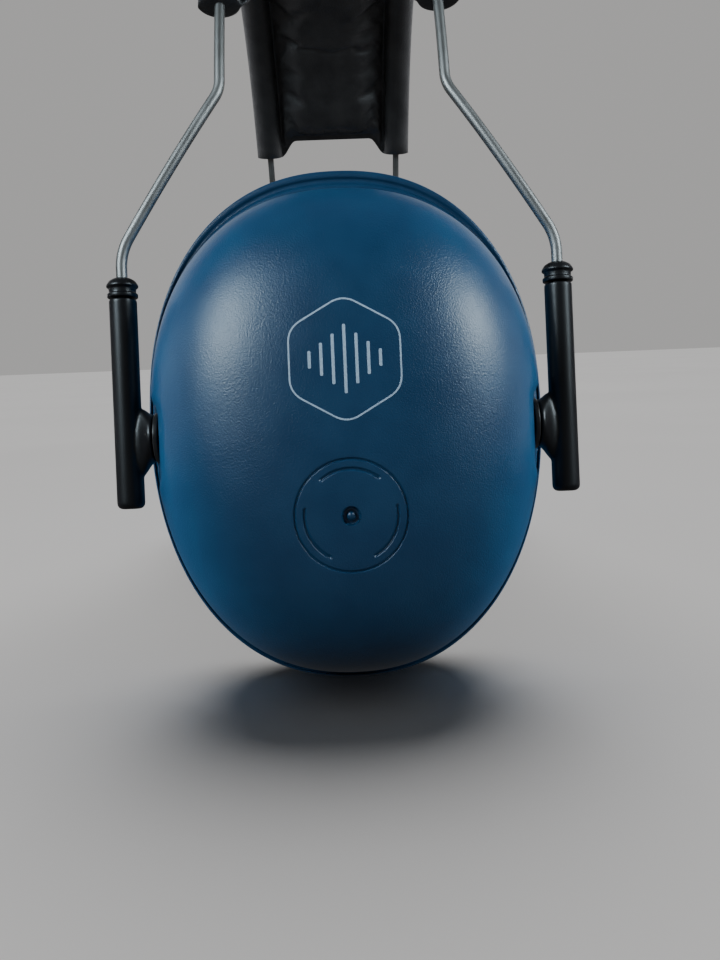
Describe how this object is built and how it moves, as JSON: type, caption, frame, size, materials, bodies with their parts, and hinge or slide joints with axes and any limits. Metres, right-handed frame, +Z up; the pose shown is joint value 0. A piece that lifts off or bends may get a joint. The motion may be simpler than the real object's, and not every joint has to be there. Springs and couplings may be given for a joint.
{
  "type": "hearing protection earmuffs",
  "caption": "Over-the-head hearing protection earmuffs: padded wire headband, slider arms for height, and tilting cushioned ear cups.",
  "frame": {"origin": "underside of the headband pad at the crown of the head, midway between the cups and between the wires", "axes": "+Z up, -Y the way the wearer faces, -X towards the wearer's right cup"},
  "size_m": [0.2488, 0.097, 0.1992],
  "materials": {
    "stainless_wire": "satin drawn stainless steel",
    "black_arm_plastic": "satin moulded plastic with a fine texture",
    "pivot_plastic": "satin moulded plastic",
    "blue_cup_plastic": "semi-gloss moulded plastic with a fine grain",
    "black_vinyl": "soft vinyl with a fine leather grain",
    "cushion_skin": "smooth soft vinyl",
    "grey_foam": "open-cell foam",
    "plate_plastic": "satin moulded plastic"
  },
  "bodies": {
    "headband": {"headband_cover": "black_vinyl", "headband_foam": "grey_foam", "front_wire_left": "stainless_wire", "rear_wire_left": "stainless_wire"},
    "right_wires": {"front_wire_right": "stainless_wire", "rear_wire_right": "stainless_wire"},
    "left_front_slider": {"left_front_arm": "black_arm_plastic", "left_front_bush": "black_arm_plastic", "left_front_pivot": "pivot_plastic"},
    "left_rear_slider": {"left_rear_arm": "black_arm_plastic", "left_rear_bush": "black_arm_plastic", "left_rear_pivot": "pivot_plastic"},
    "left_cup": {"left_shell": "blue_cup_plastic", "left_liner": "grey_foam", "left_cushion_plate": "plate_plastic", "left_cushion_foam": "grey_foam", "left_cushion_skin": "cushion_skin"},
    "right_front_slider": {"right_front_arm": "black_arm_plastic", "right_front_bush": "black_arm_plastic", "right_front_pivot": "pivot_plastic"},
    "right_rear_slider": {"right_rear_arm": "black_arm_plastic", "right_rear_bush": "black_arm_plastic", "right_rear_pivot": "pivot_plastic"},
    "right_cup": {"right_shell": "blue_cup_plastic", "right_liner": "grey_foam", "right_cushion_plate": "plate_plastic", "right_cushion_foam": "grey_foam", "right_cushion_skin": "cushion_skin"}
  },
  "joints": [
    {"name": "headband_spread", "type": "hinge", "parent": "headband", "child": "right_wires", "pos_m": [0, 0, 0.0065], "axis": [0, 1, 0], "range_deg": [-16, 22], "stiffness_Nm_per_rad": 4.5, "springref_deg": 1.15, "deforming": ["headband_cover", "headband_foam"]},
    {"name": "left_front_slide", "type": "slide", "parent": "headband", "child": "left_front_slider", "axis": [0.1305, 0, -0.9914], "range_m": [-0.002, 0.028]},
    {"name": "left_rear_slide", "type": "slide", "parent": "headband", "child": "left_rear_slider", "axis": [0.1305, 0, -0.9914], "range_m": [-0.002, 0.028]},
    {"name": "left_cup_tilt", "type": "hinge", "parent": "left_front_slider", "child": "left_cup", "pos_m": [0.098, -0.0453, -0.134], "axis": [0, 1, 0], "range_deg": [-15, 15]},
    {"name": "right_front_slide", "type": "slide", "parent": "right_wires", "child": "right_front_slider", "axis": [-0.1305, 0, -0.9914], "range_m": [-0.002, 0.028]},
    {"name": "right_rear_slide", "type": "slide", "parent": "right_wires", "child": "right_rear_slider", "axis": [-0.1305, 0, -0.9914], "range_m": [-0.002, 0.028]},
    {"name": "right_cup_tilt", "type": "hinge", "parent": "right_front_slider", "child": "right_cup", "pos_m": [-0.098, -0.0453, -0.134], "axis": [0, -1, 0], "range_deg": [-15, 15]}
  ],
  "couplings": [
    {"joint": "left_rear_slide", "follows": "left_front_slide", "ratio": 1},
    {"joint": "right_rear_slide", "follows": "right_front_slide", "ratio": 1}
  ]
}
